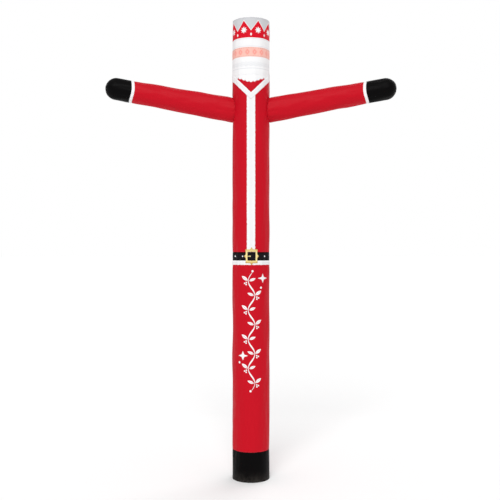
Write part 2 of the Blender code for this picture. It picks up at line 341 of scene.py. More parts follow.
def arm_offset(side, along, around, from_root=np.inf, seams=UNDER):
    """How far the blown-up sleeve stands out from the plain one."""
    chance = default_rng(31 + side)
    rounding = np.arcsin(np.clip((along - BALL_CENTRE) / ARM_RADIUS, 0, 1))
    swelling = eased(0, 0.10, from_root) * np.cos(rounding)
    offset = swelling * unevenness(around, along, ARM_SWELLS, chance)
    drawn = waist(from_root)
    for seam in (SLEEVE_ENDS[side], CUFF_ENDS[side]):
        distance = np.abs(along - bowed(seam, around))
        drawn = np.maximum(drawn, waist(distance, *CUFF_WAIST))
        offset = offset + puckers(distance, around, CUFF_PUCKERS, chance)
    offset = offset + puckers(from_root, around, ROOT_PUCKERS, chance) * eased(0, 0.012, from_root)
    turned = [np.abs(wrapped(around - seam, tau)) for seam in seams]
    distance = arm_section(side, along)[0] * np.minimum.reduce(turned)
    along_it = tau * (np.minimum(along, BALL_CENTRE) + ARM_RADIUS * rounding) / ARM_TIP
    rows = SLEEVE_SEAM_PUCKERS if seams == UNDER else HAND_SEAM_PUCKERS
    offset = offset + (1 - eased(1.1, 1.5, rounding)) * puckers(distance, along_it, rows, chance)
    depth = 0.0012 + 0.0020 * eased(0, 0.5, rounding)  # the seam draws deeper round the hand's end
    drawn = np.maximum(drawn, waist(distance, depth, SEAM_WAIST_REACH))
    return offset - drawn + lapped(distance, ARM_SEAM_HALF - LAP_FADE, ARM_SEAM_HALF + LAP_FADE)


NEAR_ARM_SEAM = np.array([0.8, 1.25]) * ARM_SEAM_HALF / ARM_RADIUS
AROUNDS = columns(ARM_COLUMNS, UNDER, NEAR_ARM_SEAM)
HAND_AROUNDS = columns(ARM_COLUMNS, UNDER_AND_OVER, NEAR_ARM_SEAM)


def sleeve_root(side, around):
    """Where along the arm its cloth meets the trunk's, found by halving."""
    low, high = np.full_like(around, 0.05), np.full_like(around, 0.45)
    for _ in range(30):
        middle = (low + high) / 2
        x, y, z = np.moveaxis(arm_point(side, middle, around, -WAIST_DEPTH), -1, 0)
        inside = np.hypot(x, y) < TUBE_RADIUS + trunk_offset(np.arctan2(x, -y), z)
        low, high = np.where(inside, middle, low), np.where(inside, high, middle)
    return (low + high) / 2


# ---- materials


def set_inputs(node, values):
    """Gives each of these inputs, by name or number, a plain value, a field or another socket."""
    for name, value in values.items():
        if isinstance(value, Field):
            value = value.socket
        if isinstance(value, bpy.types.NodeSocket):
            node.id_data.links.new(value, node.inputs[name])
        else:
            node.inputs[name].default_value = value


def calculate(tree, operation, *values, clamp=False):
    node = tree.nodes.new("ShaderNodeMath")
    node.operation = operation
    node.use_clamp = clamp
    set_inputs(node, dict(enumerate(values)))
    return Field(tree, node.outputs[0])


def operator(operation):
    """A method that applies this operation to a field and what stands beside it."""
    return lambda field, *others: field.math(operation, *others)


class Field:
    """A number that varies over the cloth: a socket in a material's node tree, with arithmetic."""

    def __init__(self, tree, socket):
        self.tree = tree
        self.socket = socket

    def math(self, operation, *others, clamp=False):
        return calculate(self.tree, operation, self, *others, clamp=clamp)

    def __rsub__(self, other):
        return calculate(self.tree, "SUBTRACT", other, self)

    __add__ = __radd__ = operator("ADD")
    __sub__ = operator("SUBTRACT")
    __mul__ = __rmul__ = operator("MULTIPLY")
    __truediv__ = operator("DIVIDE")
    __pow__ = operator("POWER")
    __abs__ = operator("ABSOLUTE")

    def clipped(self):
        """The value, or 0 where it is below that."""
        return self.math("MAXIMUM", 0)

    def wrapped(self, period):
        """The value, moved by whole periods to lie around zero."""
        return self.math("WRAP", period / 2, -period / 2)


def linear(red, green, blue):
    """A colour given in sRGB steps from 0 to 255, as the shader takes it."""
    return (*(((step / 255 + 0.055) / 1.055) ** 2.4 for step in (red, green, blue)), 1)


RED = linear(189, 5, 28)
WHITE = linear(236, 236, 237)
# a softer white: painted shade down the middle of the collar and the placket, and the white thread's colour
SHADE_AND_THREAD_WHITE = linear(230, 230, 231)
GREY = linear(198, 199, 202)
PALE_GREY = linear(196, 200, 205)
BLACK = linear(4, 2, 3)
CHARCOAL = linear(22, 20, 23)
CAP_RED = linear(208, 8, 34)
PINK = linear(242, 186, 174)
CORAL = linear(240, 148, 138)
DUST = linear(96, 90, 84)
PALE_GOLD = linear(236, 217, 146)
# painted shade on the gold satin
PAINTED_SHADE_GOLD = linear(186, 140, 52)
PRINT_EDGE = 0.0012
SHARE, UNDERNEATH, ON_TOP = 0, 6, 7  # the inputs of a Mix node in its colour mode
MIXED_COLOUR = 2  # and its output


def masked(distance, soft=PRINT_EDGE):
    """1 where the distance to an outline is below zero, 0 beyond it, and a thin soft edge between."""
    return distance.math("MULTIPLY_ADD", -1 / soft, 0.5, clamp=True)


def either(mask, *others):
    for other in others:
        mask = mask.math("MAXIMUM", other)
    return mask


def both(one, other):
    return one.math("MINIMUM", other)


def between(value, low, high):
    """A mask from low to high."""
    return masked(abs(value - (low + high) / 2) - (high - low) / 2)


def paint(tree, base, layers):
    """Colours laid one over another on the base: each layer is (mask, colour)."""
    for mask, colour in layers:
        mix = tree.nodes.new("ShaderNodeMix")
        mix.data_type = "RGBA"
        set_inputs(mix, {SHARE: mask, UNDERNEATH: base, ON_TOP: colour})
        base = mix.outputs[MIXED_COLOUR]
    return base


def noise(tree, scale, detail=2, distortion=0):
    """Random patches from 0 to 1, fixed to the object."""
    place = tree.nodes.new("ShaderNodeTexCoord").outputs["Object"]
    texture = tree.nodes.new("ShaderNodeTexNoise")
    set_inputs(texture, {"Vector": place, "Scale": scale, "Detail": detail, "Distortion": distortion})
    return Field(tree, texture.outputs["Fac"])


def new_material(name):
    material = bpy.data.materials.new(name)
    material.use_nodes = True
    return material, material.node_tree


def print_coordinates(tree):
    """Metres across and up the cloth."""
    place = tree.nodes.new("ShaderNodeUVMap")
    place.uv_map = "print"
    split = tree.nodes.new("ShaderNodeSeparateXYZ")
    set_inputs(split, {"Vector": place.outputs["UV"]})
    return Field(tree, split.outputs["X"]), Field(tree, split.outputs["Y"])


SHEEN_ROUGHNESS = 0.4
ROUGHNESS_SPREAD = 0.16


def finish_cloth(material, colour, height, roughness, variation, specular, sheen=0):
    """Wires a cloth's colour, with its uneven dye, its roughness and its relief in metres."""
    tree = material.node_tree
    patches = noise(tree, 1.4) * 0.65 + noise(tree, 19, 3) * 0.35
    tone = tree.nodes.new("ShaderNodeHueSaturation")
    set_inputs(tone, {"Value": patches * (2 * variation) + (1 - variation), "Color": colour})
    relief = tree.nodes.new("ShaderNodeBump")
    set_inputs(relief, {"Distance": 1, "Height": height})
    uneven = noise(tree, 33, 3) * ROUGHNESS_SPREAD + (roughness - ROUGHNESS_SPREAD / 2)
    set_inputs(tree.nodes["Principled BSDF"], {
        "Base Color": tone.outputs["Color"],
        "Roughness": uneven,
        "Specular IOR Level": specular,
        "Sheen Weight": sheen,
        "Sheen Roughness": SHEEN_ROUGHNESS,
        "Normal": relief.outputs["Normal"],
    })
    return material


RIPSTOP_PITCH = 0.0052
RIPSTOP_HALF = 0.0003
RIPSTOP_EDGE = 0.0004
RIPSTOP_RELIEF = 0.00012
WEAVE_PITCH = 0.0007
WEAVE_RELIEF = 0.00003
SATIN_PITCH = 0.0016
SATIN_RELIEF = 0.00006


def woven_relief(tree, across, up):
    """Plain weave with a raised ripstop grid, over the faint crumple of cloth that was packed away."""
    lines = [masked(abs(way.wrapped(RIPSTOP_PITCH)) - RIPSTOP_HALF, RIPSTOP_EDGE) for way in (across, up)]
    turns = tau / WEAVE_PITCH
    weave = (across * turns).math("SINE") * (up * turns).math("SINE")
    crumple = noise(tree, 6, 5, 0.9) * 0.0065 + noise(tree, 46, 3, 0.4) * 0.0007
    return either(*lines) * RIPSTOP_RELIEF + weave * WEAVE_RELIEF + crumple


def woven(name, base, layers_of=None, roughness=0.52, variation=0.03, specular=0.11):
    """Ripstop nylon dyed base. layers_of(across, up) gives the colours printed on it."""
    material, tree = new_material(name)
    across, up = print_coordinates(tree)
    colour = paint(tree, base, layers_of(across, up)) if layers_of else base
    return finish_cloth(material, colour, woven_relief(tree, across, up), roughness, variation, specular)


def fleece(name, layers_of):
    """Brushed white pile, with its short curls, and the painted shade that layers_of(across, up) lays on it.
    """
    material, tree = new_material(name)
    curls = noise(tree, 240, 4, 1.2) * 0.0016 + noise(tree, 70, 3, 0.8) * 0.0022
    colour = paint(tree, WHITE, layers_of(*print_coordinates(tree)))
    return finish_cloth(material, colour, curls, 0.85, 0.02, 0.08, sheen=0.25)


def twisted(name, colour):
    """Sewing thread."""
    material, tree = new_material(name)
    colour = paint(tree, colour, [(noise(tree, 300) * 0.3, WHITE)])
    return finish_cloth(material, colour, noise(tree, 1500) * 0.0002, 0.45, 0.05, 0.25)


def satin(name):
    """Gold satin stitching with painted shade: darker above and below, and most at the points and the lower
    corners, which leaves its sides lighter like a painted highlight.
    """
    material, tree = new_material(name)
    across, up = print_coordinates(tree)
    places = abs(across), abs(up)
    aside, above = (place - inner for place, inner in zip(places, BUCKLE_INNER))
    tip_starts = (half + point / 2 for half, point in zip(BUCKLE_HALF, BUCKLE_POINT))
    shaded_tips = [masked(start - place, 0.010) for start, place in zip(tip_starts, places)]
    shaded_corners = masked(0.022 - aside.clipped() - above.clipped(), 0.016)
    marks = disc(across, places[1], (0, BUCKLE_INNER[1] + 0.002), 0.006)
    # painted shade on the top and bottom bars, in the corners and more in the lower ones, and at the points;
    # also dark marks at the middle of the inner edge above and below
    painted_shades = (
        masked(aside - above, 0.012) * 0.28,
        shaded_corners * 0.45,
        both(shaded_corners, masked(up)) * 0.5,
        either(marks, *shaded_tips) * 0.85,
    )
    colour = paint(tree, PALE_GOLD, [(mask, PAINTED_SHADE_GOLD) for mask in painted_shades])
    threads = ((across + up) * (tau / SATIN_PITCH)).math("SINE") * SATIN_RELIEF
    return finish_cloth(material, colour, threads + noise(tree, 90) * 0.0004, 0.38, 0.05, 0.5)


# ---- prints, and the painted shade on the white trims


def distance_from(across, up, place):
    return ((across - place[0]) ** 2 + (up - place[1]) ** 2).math("SQRT")


def disc(across, up, place, radius):
    return masked(distance_from(across, up, place) - radius)


def repeated(across, count, shift=0):
    """How far across from the nearest of count even places, moved round by a share of a pitch."""
    pitch = AROUND_TRUNK / count
    return (across - shift * pitch).wrapped(pitch)


NOTCH_SHARE = 0.26  # how far out the inner corners of a four-point star lie
STAR_NOTCH = 0.45  # and those of a star with more


def glint(across, up, place):
    """A four-point star with straight sides. It is drawn wider to look even from the front."""
    east = abs(across - place[0]) * math.cos(place[0] / TUBE_RADIUS)
    north = abs(up - place[1])
    notch = GLINT_REACH * NOTCH_SHARE
    beyond = east.math("MAXIMUM", north) * notch + east.math("MINIMUM", north) * (GLINT_REACH - notch)
    return masked((beyond - notch * GLINT_REACH) / math.hypot(notch, GLINT_REACH - notch))


def star(across, up, height, reach, points):
    bearing = across.math("ARCTAN2", up - height)
    half_turn = pi / points
    fold = abs(bearing.wrapped(2 * half_turn)) * (1 / half_turn)
    limit = (1 - fold * (1 - STAR_NOTCH)) * reach
    return masked(distance_from(across, up, (0, height)) - limit)


def diamond(across, up, height, half_width, half_height):
    slant = abs(across) / half_width + abs(up - height) / half_height
    return masked((slant - 1) * min(half_width, half_height))


def leaf(across, up, place, heading, half_length, half_width):
    """A pointed leaf with a bare midrib. heading is its angle from the across direction."""
    cosine, sine = math.cos(heading), math.sin(heading)
    east, north = across - place[0], up - place[1]
    along = east * cosine + north * sine
    off = abs(north * cosine - east * sine)
    blade = masked(off - (1 - (along / half_length) ** 2) * half_width)
    midrib = masked(off - MIDRIB_HALF) * masked(along - half_length * MIDRIB_SHARE)
    return blade - both(blade, midrib)


VINE_MIDDLE = 0.006
VINE_SWING = 0.040
VINE_HALF_WAVE = 0.177
VINE_CREST = 1.557  # the height of a crest on the right
VINE_ENDS = (1.120, 2.545)
VINE_TAPER = 9  # how fast the stem thickens from its ends
STEM_HALF = 0.0062
STEM_SWELL = 0.0026
MIDRIB_HALF = 0.0011
MIDRIB_SHARE = 0.55  # of the leaf's half length, past its middle
LEAVES = (
    # out and up from the crest, heading, half length, half width
    ((0.084, 0.030), math.radians(35), 0.047, 0.019),
    ((-0.010, 0.014), math.radians(158), 0.042, 0.016),
)
BERRIES = ((0.064, -0.020), (0.086, -0.030), (0.066, -0.044))
BERRY_RADIUS = 0.0095
GLINTS = ((0.154, 2.4725), (-0.101, 1.535))
GLINT_REACH = 0.057
DOTS = (
    # across and up, radius
    ((0.1266, 2.358), 0.0135),
    ((-0.149, 1.452), 0.0135),
    ((VINE_MIDDLE - 0.012, VINE_ENDS[0] - 0.012), 0.013),
    ((VINE_MIDDLE + 0.012, VINE_ENDS[1] + 0.014), 0.013),
)


def vine(across, up):
    """A leafy scroll up the front: in every half wave a crest with two leaves and three berries."""
    low, high = VINE_ENDS
    wave = (up - VINE_CREST) * (pi / VINE_HALF_WAVE)
    sideways = (across - VINE_MIDDLE) * wave.math("COSINE").math("SIGN")
    rise = (up - VINE_CREST).wrapped(VINE_HALF_WAVE)
    cell = rise * (pi / VINE_HALF_WAVE)
    slope = cell.math("SINE") * (VINE_SWING * pi / VINE_HALF_WAVE)
    stretch = (slope**2 + 1).math("SQRT")
    from_end = ((high - low) / 2 - abs(up - (low + high) / 2)) * VINE_TAPER
    taper = from_end.clipped().math("MINIMUM", 1) * 0.75 + 0.25
    half_width = (STEM_HALF - (cell * 2).math("COSINE") * STEM_SWELL) * taper
    stem = masked(abs(sideways - cell.math("COSINE") * VINE_SWING) / stretch - half_width)
    leaves = [leaf(sideways, rise, *shape) for shape in LEAVES]
    berries = [disc(sideways, rise, place, BERRY_RADIUS) for place in BERRIES]
    return both(either(stem, *leaves, *berries), between(up, low, high))


def trunk_print(across, up):
    glints = [glint(across, up, place) for place in GLINTS]
    dots = [disc(across, up, place, radius) for place, radius in DOTS]
    return [(either(vine(across, up), *glints, *dots), WHITE)]


SCALLOPS = 30
SCALLOP_DEPTH = 0.019
SCALLOP_LINE = 0.0075  # how far outside the edge a thin line follows it
SCALLOP_LINE_HALF = 0.0011
WHITE_END = NECK_SEAM - 0.016
WHITE_DROP = 0.060  # how much further down the white reaches at the front


def chest_print(across, up):
    """The head's white ends in a row of small scallops, lowest at the front."""
    off_middle = repeated(across, SCALLOPS) * (2 * SCALLOPS / AROUND_TRUNK)
    lobe = (1 - off_middle**2).clipped().math("SQRT")
    facing = (across * (1 / TUBE_RADIUS)).math("COSINE").clipped()
    edge = WHITE_END - facing**6 * WHITE_DROP - lobe * SCALLOP_DEPTH
    line = masked(abs(edge - up + SCALLOP_LINE) - SCALLOP_LINE_HALF)
    return [(masked(edge - up), WHITE), (line * 0.8, PALE_GREY)]


PINK_BOTTOM = 5.155
BRIM_BOTTOM = 5.270
CAP_BOTTOM = 5.385
CAP_VALLEY = 5.470
CAP_PEAK = 5.592
CAP_PEAKS = 8
CAP_BORDER = 0.010
STAR = (5.478, 0.042, 8)  # height, reach, points
CAP_DIAMOND = (5.424, 0.013, 0.020)  # height, half width, half height
PINK_DIAMONDS = 16
PINK_DIAMOND = (0.030, 0.036)
DIAMOND_HOLE = (0.013, 0.016)
BEADS = 48
BEAD_RADIUS = 0.0035
INSET = 0.010  # of the beads and the brim's thin lines, from their band's edge
BRIM_LINE = 0.0035
CHEVRONS = 24
CHEVRON_MIDDLE = 5.062
CHEVRON_RISE = 0.026
CHEVRON_APART = 0.011  # how far each of the two lines lies from the middle
CHEVRON_HALF = 0.0028
CHEVRON_DOT = (0.028, 0.0055)  # its height above the middle, its radius
UNDERLINE = (-0.049, -0.045)


def head_print(across, up):
    """Bands of plain winter knitwear motifs round the head."""
    from_peak, from_valley = repeated(across, CAP_PEAKS, 0.5), repeated(across, CAP_PEAKS)
    cap_edge = CAP_PEAK - abs(from_peak) * (2 * (CAP_PEAK - CAP_VALLEY) * CAP_PEAKS / AROUND_TRUNK)
    above_brim = masked(CAP_BOTTOM - up)
    from_diamond = repeated(across, PINK_DIAMONDS, 0.5)
    pink_middle = (PINK_BOTTOM + BRIM_BOTTOM) / 2
    bead = repeated(across, BEADS)
    bead_heights = PINK_BOTTOM + INSET, BRIM_BOTTOM - INSET
    beads = [disc(bead, up, (0, height), BEAD_RADIUS) for height in bead_heights]
    from_low = repeated(across, CHEVRONS)
    zigzag = abs(from_low) * (2 * CHEVRON_RISE * CHEVRONS / AROUND_TRUNK)
    zigzag = zigzag + (CHEVRON_MIDDLE - CHEVRON_RISE / 2)
    chevrons = [masked(abs(up - zigzag - shift) - CHEVRON_HALF) for shift in (CHEVRON_APART, -CHEVRON_APART)]
    dot_rise, dot_radius = CHEVRON_DOT
    return [
        (above_brim, GREY),
        (both(above_brim, masked(up - cap_edge - CAP_BORDER)), WHITE),
        (both(above_brim, masked(up - cap_edge)), CAP_RED),
        (star(from_peak, up, *STAR), WHITE),
        (diamond(from_valley, up, *CAP_DIAMOND), WHITE),
        (between(up, BRIM_BOTTOM + INSET, BRIM_BOTTOM + INSET + BRIM_LINE), PALE_GREY),
        (between(up, CAP_BOTTOM - INSET - BRIM_LINE, CAP_BOTTOM - INSET), PALE_GREY),
        (between(up, PINK_BOTTOM, BRIM_BOTTOM), PINK),
        (diamond(from_diamond, up, pink_middle, *PINK_DIAMOND), CORAL),
        (diamond(from_diamond, up, pink_middle, *DIAMOND_HOLE), PINK),
        (either(*beads), CHARCOAL),
        (either(*chevrons), PALE_GREY),
        (disc(from_low, up, (0, CHEVRON_MIDDLE + dot_rise), dot_radius), PALE_GREY),
        (between(up, *(CHEVRON_MIDDLE + height for height in UNDERLINE)), PALE_GREY),
    ]


DUST_HEIGHT = 0.16


def base_print(across, up):
    """A little dust from the ground."""
    patchy = noise(across.tree, 26, 4) * 1.4 - 0.35
    low = (1 - up * (1 / DUST_HEIGHT)).clipped() ** 2
    return [(patchy.math("MULTIPLY", low, clamp=True) * 0.5, DUST)]


STUDS = (
    # turn in degrees, how many times wider than tall
    (-59.9, 1.15),
    (-26.1, 0.85),
    (46.7, 1.30),
    *((46.7 + 36.2 * step, 1) for step in range(1, 7)),
)
STUD_RADIUS = 0.0090
BELT_EDGE = 0.016


def belt_print(across, up):
    middle = (BELT_BOTTOM + BELT_TOP) / 2
    half = (BELT_TOP - BELT_BOTTOM) / 2 - BELT_EDGE
    layers = [(masked(abs(up - middle) - half, 0.010), CHARCOAL)]
    for turn, wide in STUDS:
        east = TUBE_RADIUS * wrapped(math.radians(turn), tau)
        layers.append((disc(across / wide, up, (east / wide, middle), STUD_RADIUS), WHITE))
    return layers


# the height of the groove between the hem's rolls, and of the painted shade along it
HEM_LINE = 2.6576
SOFT_EDGE = 0.030  # over which the painted shade down a trim's middle fades in


# painted shade: a pale grey line along the groove between the hem's two rolls
def hem_groove_painted_shade(across, up):
    return [(masked(abs(up - HEM_LINE) - 0.002, 0.006) * 0.7, PALE_GREY)]


# painted shade: a softer white down the middle of a trim, over the valley in its pile
def painted_shade_middle(off_middle, half):
    return [(masked(abs(off_middle) - half, SOFT_EDGE), SHADE_AND_THREAD_WHITE)]


def placket_painted_shade(across, up):
    return painted_shade_middle(across, PLACKET_HALF_WIDTH * 0.45)


def collar_painted_shade(across, up):
    return painted_shade_middle(up, (COLLAR_BACK[1] - COLLAR_BACK[0]) * 0.20)


# ---- pieces


def closed(grid):
    """The grid with its first column again at the end."""
    return np.concatenate([grid, grid[:, :1]], axis=1)


def corners(grid):
    """The four corners of each cell, anticlockwise from the lower left."""
    return np.stack([grid[:-1, :-1], grid[:-1, 1:], grid[1:, 1:], grid[1:, :-1]], axis=-1)


def round_print(radius, turns):
    """Print coordinates across a tube, with its seam's column again at the end."""
    return radius * np.append(turns, pi)[None, :]


def add_object(name, data):
    thing = bpy.data.objects.new(name, data)
    bpy.context.scene.collection.objects.link(thing)
    return thing


def dress(piece, material, node=None):
    """Gives a piece its material and its place. The material's name starts with its slot's colour."""
    piece.data.materials.append(material)
    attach(piece, "root")
    if node:
        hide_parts(node)


def cloth_piece(name, material, points, across, up, thickness=PANEL_CLOTH):
    """A sheet of cloth through points[row, column], named after its node with a word more.
    A tube's print coordinates have a column more than its points."""
    rows, width = points.shape[:2]
    index = np.arange(rows * width).reshape(rows, width)
    across, up = np.broadcast_arrays(across, up)
    if across.shape[1] > width:
        index = closed(index)
    mesh = bpy.data.meshes.new(name)
    mesh.from_pydata(points.reshape(-1, 3).tolist(), [], corners(index).reshape(-1, 4).tolist())
    layer = mesh.uv_layers.new(name="print")
    layer.uv.foreach_set("vector", np.stack([corners(across), corners(up)], axis=-1).ravel())
    mesh.shade_smooth()
    piece = add_object(name, mesh)
    solidify = piece.modifiers.new("thickness", "SOLIDIFY")
    solidify.thickness = thickness
    solidify.offset = -1
    dress(piece, material, name.rpartition("_")[0])


def resized(vectors, length):
    return vectors * (length / np.linalg.norm(vectors, axis=1, keepdims=True))


STITCH_FACES = ((0, 1, 4), (1, 2, 4), (2, 3, 4), (3, 0, 4), (1, 0, 5), (2, 1, 5), (3, 2, 5), (0, 3, 5))


class Sewing:
    """All the stitches, collected by thread and made as one piece a thread."""

    def __init__(self):
        self.rows = {}

    def row(self, thread, path, outward):
        """Stitches laid end to end along a path of points."""
        reached = np.append(0, np.cumsum(np.linalg.norm(np.diff(path, axis=0), axis=1)))
        count = max(1, int(reached[-1] / STITCH_PITCH))
        places = (np.arange(count) + 0.5) * reached[-1] / count

        def sample(values, where):
            return np.stack([np.interp(where, reached, values[:, axis]) for axis in range(3)], axis=-1)

        centre = sample(path, places)
        ahead = sample(path, places + STITCH_LENGTH / 2) - sample(path, places - STITCH_LENGTH / 2)
        ahead = resized(ahead, STITCH_LENGTH / 2)
        out = resized(sample(outward, places), STITCH_WIDTH / 2)
        aside = resized(np.cross(ahead, out), STITCH_WIDTH / 2)
        shape = [centre + corner for corner in (ahead, aside, -ahead, -aside, out, -out)]
        self.rows.setdefault(thread, []).append(np.stack(shape, axis=1))

    def follow(self, thread, point_at, *place, lift=0):
        """A row on a surface: point_at(*place, lift) is a point lifted off it."""
        path = point_at(*place, lift)
        self.row(thread, path, point_at(*place, lift + 0.01) - path)

    def make(self, materials):
        for thread, rows in self.rows.items():
            points = np.concatenate(rows)
            index = np.array(STITCH_FACES)[None] + points.shape[1] * np.arange(len(points))[:, None, None]
            mesh = bpy.data.meshes.new(f"stitches_{thread}")
            mesh.from_pydata(points.reshape(-1, 3).tolist(), [], index.reshape(-1, 3).tolist())
            dress(add_object(mesh.name, mesh), materials[f"{thread}_thread"])


def ring_of_stitches(sewing, thread, height):
    sewing.follow(thread, trunk_point, np.linspace(-pi, pi, 721), height, lift=LAP_LIFT)


def trunk_panel(name, low, high, material, lap=PANEL_LAP, zones=(), wave=None, bulge=None, tongue=True):
    """A tube of the trunk, whose lower edge laps over the panel below."""
    seams = [(seam, seam, FINE_STEP) for seam in TRUNK_SEAMS]
    heights = spaced(low, high, [*seams, *zones])
    lifts = lapped(heights - low, *lap)
    if bulge:
        lifts = lifts + bulge(heights)
    if tongue:
        heights = np.append(heights, high + TONGUE * np.array([0.1, 0.5, 1]))
        lifts = np.append(lifts, np.full(3, -TONGUE_DROP))
    grid = heights[:, None] + 0 * TURNS
    if wave:
        grid = grid + wave(TURNS) * np.exp(-(heights[:, None] - low) / WAVE_FADE)
    points = trunk_point(TURNS, grid, lifts[:, None])
    cloth_piece(name, material, points, round_print(TUBE_RADIUS, TURNS), closed(grid))


PILE_EDGE = 0.0013  # how unevenly brushed pile ends
PILE_INSET = 0.0015  # how far the pile curls in from the edge it was cut to
WAVE_FADE = 0.012
HEM_ROLL = 0.0042
HEM_GROOVE = 0.0022
HEM_GROOVE_WIDTH = 0.0035


def hem_wave(turn):
    return 1.2 * PILE_EDGE * waves(turn, (19, 27, 34, 48, 61), default_rng(5))


def hem_bulge(heights):
    """The hem is two soft rolls with a groove between."""
    share = (heights - HEM_BOTTOM) / (BELT_BOTTOM - HEM_BOTTOM)
    roll = HEM_ROLL * np.sqrt(np.clip(1 - (2 * share - 1) ** 2, 0, 1))
    return roll - HEM_GROOVE * np.exp(-(((heights - HEM_LINE) / HEM_GROOVE_WIDTH) ** 2))


def build_trunk(materials, sewing):
    shoulders = (SHOULDER_HEIGHT - 0.24, SHOULDER_HEIGHT + 0.24, SHOULDER_STEP)
    special = {
        "base_cuff": {"lap": BASE_LAP, "zones": [(BASE_HEM, BASE_HEM, FINE_STEP)]},
        "hem_band": {"zones": [(HEM_BOTTOM, BELT_BOTTOM, EDGE_STEP)], "wave": hem_wave, "bulge": hem_bulge},
        "chest_tube": {"zones": [shoulders]},
        "head_tube": {"tongue": False},
    }
    for node, low, high in zip(TRUNK_NODES, (0, *TRUNK_SEAMS), TRUNK_SEAMS):
        trunk_panel(f"{node}_cloth", low, high, materials[node], **special.get(node, {}))
    cut_armholes(bpy.data.objects["chest_tube_cloth"])
    sew_trunk(sewing)


def sew_trunk(sewing):
    """Two rings of stitches above each seam, one over the base's hem, and two rows up the back."""
    for low, thread in ((BASE_SEAM, "red"), (BELT_BOTTOM, "black"), (BELT_TOP, "red"), (NECK_SEAM, "white")):
        for rise in STITCH_ROWS:
            ring_of_stitches(sewing, thread, low + rise)
    ring_of_stitches(sewing, "black", BASE_HEM - 0.004)
    ends = 0.03, TUBE_HEIGHT - 0.02
    heights = np.arange(*ends, ALONG_SEAM)
    spans = (
        # thread, from, to
        ("black", ends[0], BASE_SEAM),
        ("red", BASE_SEAM + CLEAR_OF_SEAM, HEM_BOTTOM),
        ("black", BELT_BOTTOM + CLEAR_OF_SEAM, BELT_TOP),
        ("red", BELT_TOP + CLEAR_OF_SEAM, COLLAR_BACK[0]),
        ("white", COLLAR_BACK[1], ends[1]),
    )
    for thread, low, high in spans:
        up = heights[(heights > low) & (heights < high)]
        for off in SEAM_SIDES:
            sewing.follow(thread, trunk_point, pi + off * BACK_SEAM_HALF / TUBE_RADIUS, up)


def cut_armholes(chest):
    """Opens the chest inside each sleeve, along an even oval just within the sleeve's cloth."""
    halves = SHOULDER_HALF_HEIGHT - 2 * WAIST_DEPTH, SHOULDER_HALF_DEPTH - 2 * WAIST_DEPTH
    sine, cosine = math.sin(ARM_SLOPE), math.cos(ARM_SLOPE)

    def oval_place(place, side):
        """How far a point lies up from the arm's axis and in front of it, and as a share of the oval."""
        up, front = (place.z - ARM_AXIS_HEIGHT) * cosine - side * place.x * sine, -place.y
        return up, front, math.hypot(up / halves[0], front / halves[1])

    sheet = bmesh.new()
    sheet.from_mesh(chest.data)
    for side in (-1, 1):
        inner = {v for v in sheet.verts if side * v.co.x > 0 and oval_place(v.co, side)[2] < 1}
        rim = {v for inside in inner for face in inside.link_faces for v in face.verts} - inner
        for vertex in rim:
            up, front, share = oval_place(vertex.co, side)
            up, front = up / share, front / share
            x = side * math.sqrt(vertex.co.x**2 + vertex.co.y**2 - front**2)
            vertex.co = (x, -front, ARM_AXIS_HEIGHT + (up + side * x * sine) / cosine)
        bmesh.ops.delete(sheet, geom=list(inner), context="VERTS")
    sheet.to_mesh(chest.data)
    sheet.free()


CROWN_SKIRT = np.array([[-0.0100], [-0.0075], [-0.0050], [-0.0025]])  # its rows, from the tube's end
CROWN_INSET = 0.0040  # where the dome starts, in from the tube's side
CROWN_FOOT = 0.0025  # and up from its end
CROWN_FOLD = 0.0012  # how far the fold between them stands out
CROWN_PUCKERS = ((46, 0.0020, 0.018), (19, 0.0042, 0.060), (9, 0.0030, 0.150))
VENT_PUCKERS = ((17, 0.0014, 0.025),)
VENT_WAIST = (0.003, 0.030)
VENT_LAP = (0.011, 0.013)
VENT_STITCHES = (0.003, 0.009)  # out from the vent
CROWN_STITCHES = 0.0070  # down from the tube's end


def build_crown(materials, sewing):
    """The domed top panel: a narrow skirt sewn over the tube's end, and the dome up to the vent."""
    rim = TUBE_RADIUS - CROWN_INSET
    zones = [(rim, rim, FINE_STEP), (VENT_RADIUS, VENT_RADIUS + 0.014, EDGE_STEP)]
    radii = spaced(VENT_RADIUS, rim, zones, CROWN_STEP)[::-1, None]
    chance = default_rng(23)
    dome = TUBE_HEIGHT + CROWN_FOOT + (CROWN_RISE - CROWN_FOOT) * (1 - (radii / rim) ** 2)
    dome = dome + puckers(rim - radii, TURNS, CROWN_PUCKERS, chance)
    hem = radii - VENT_RADIUS
    dome = dome + puckers(hem, TURNS, VENT_PUCKERS, chance)
    dome = dome + lapped(hem, *VENT_LAP) - waist(hem, *VENT_WAIST)
    top = np.stack([radii * np.sin(TURNS), -radii * np.cos(TURNS), dome], axis=-1)
    side = trunk_point(TURNS, TUBE_HEIGHT + CROWN_SKIRT, LAP_LIFT)
    fold = (side[-1:] + top[:1]) / 2 + np.array([0, 0, CROWN_FOLD])
    fold[..., :2] *= 1 + CROWN_FOLD / TUBE_RADIUS
    points = np.concatenate([side, fold, top])
    reach = np.concatenate([TUBE_RADIUS + CROWN_INSET - CROWN_SKIRT, [[TUBE_RADIUS]], radii])
    turns = np.append(TURNS, pi)
    cloth_piece("top_panel_cloth", materials["grey"], points, reach * np.sin(turns), -reach * np.cos(turns))
    ring_of_stitches(sewing, "grey", TUBE_HEIGHT - CROWN_STITCHES)
    for distance in VENT_STITCHES:
        path = closed(top[np.argmin(np.abs(hem - distance))][None])[0]
        sewing.row("grey", path, np.tile([0, 0, 1], (len(path), 1)))


